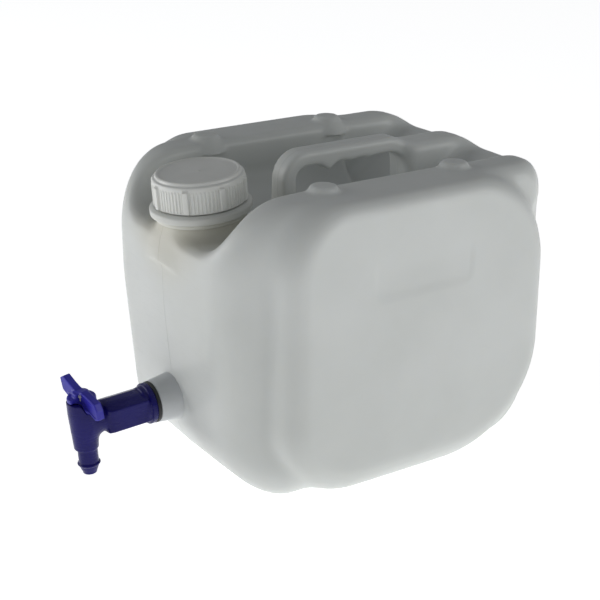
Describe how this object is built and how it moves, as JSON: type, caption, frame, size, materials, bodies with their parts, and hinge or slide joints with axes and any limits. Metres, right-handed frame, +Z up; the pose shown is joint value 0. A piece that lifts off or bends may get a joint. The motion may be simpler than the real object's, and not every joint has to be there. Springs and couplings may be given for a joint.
{
  "type": "detergent dispenser bottle",
  "caption": "Jerry can laid out as a liquid detergent dispenser: moulded handle, stacking ridges, screw cap on the front shoulder, and a lever tap low on the front face.",
  "frame": {"origin": "middle of the flat base that the can stands on, midway between its two sides", "axes": "+Z up, -Y towards the tap, +X towards the can's side, which the can mirrors on -X"},
  "size_m": [0.23, 0.3493, 0.2156],
  "materials": {
    "can": "natural translucent polyethylene, satin, faintly frosted",
    "boss": "natural polyethylene, satin, slightly whiter than the can",
    "tamper_ring": "white polyethylene, satin",
    "cap": "white polyethylene, satin, fine moulded ribs",
    "liner": "white closed cell foam",
    "gasket": "black rubber, matt",
    "tap": "dark blue moulded plastic, semi gloss",
    "lever": "blue moulded plastic, semi gloss, a shade lighter than the tap",
    "plunger": "natural acetal",
    "seal": "black rubber"
  },
  "bodies": {
    "can": {"bottle_shell": "can", "tap_boss": "boss", "tamper_ring": "tamper_ring", "tap_gasket": "gasket", "tap_body": "tap"},
    "cap_seal": {"cap_liner": "liner"},
    "cap": {"screw_cap": "cap"},
    "valve": {"tap_plunger": "plunger", "plunger_ring": "seal", "seat_washer": "seal"},
    "lever": {"tap_lever": "lever"}
  },
  "joints": [
    {"name": "cap_rise", "type": "slide", "parent": "can", "child": "cap_seal", "axis": [0, -0.0732, 0.9973], "range_m": [0, 0.012]},
    {"name": "cap_turn", "type": "hinge", "parent": "cap_seal", "child": "cap", "pos_m": [0, -0.1047, 0.19], "axis": [0, -0.0732, 0.9973], "range_deg": [0, 720]},
    {"name": "plunger_lift", "type": "slide", "parent": "can", "child": "valve", "axis": [0, -0.0523, 0.9986], "range_m": [0, 0.0058]},
    {"name": "lever_turn", "type": "hinge", "parent": "valve", "child": "lever", "pos_m": [0, -0.19893, 0.04978], "axis": [0, -0.0523, 0.9986], "range_deg": [0, 90]}
  ],
  "couplings": [
    {"joint": "cap_rise", "follows": "cap_turn", "m_per_rad": 0.00095493},
    {"joint": "plunger_lift", "follows": "lever_turn", "m_per_rad": 0.0036}
  ]
}
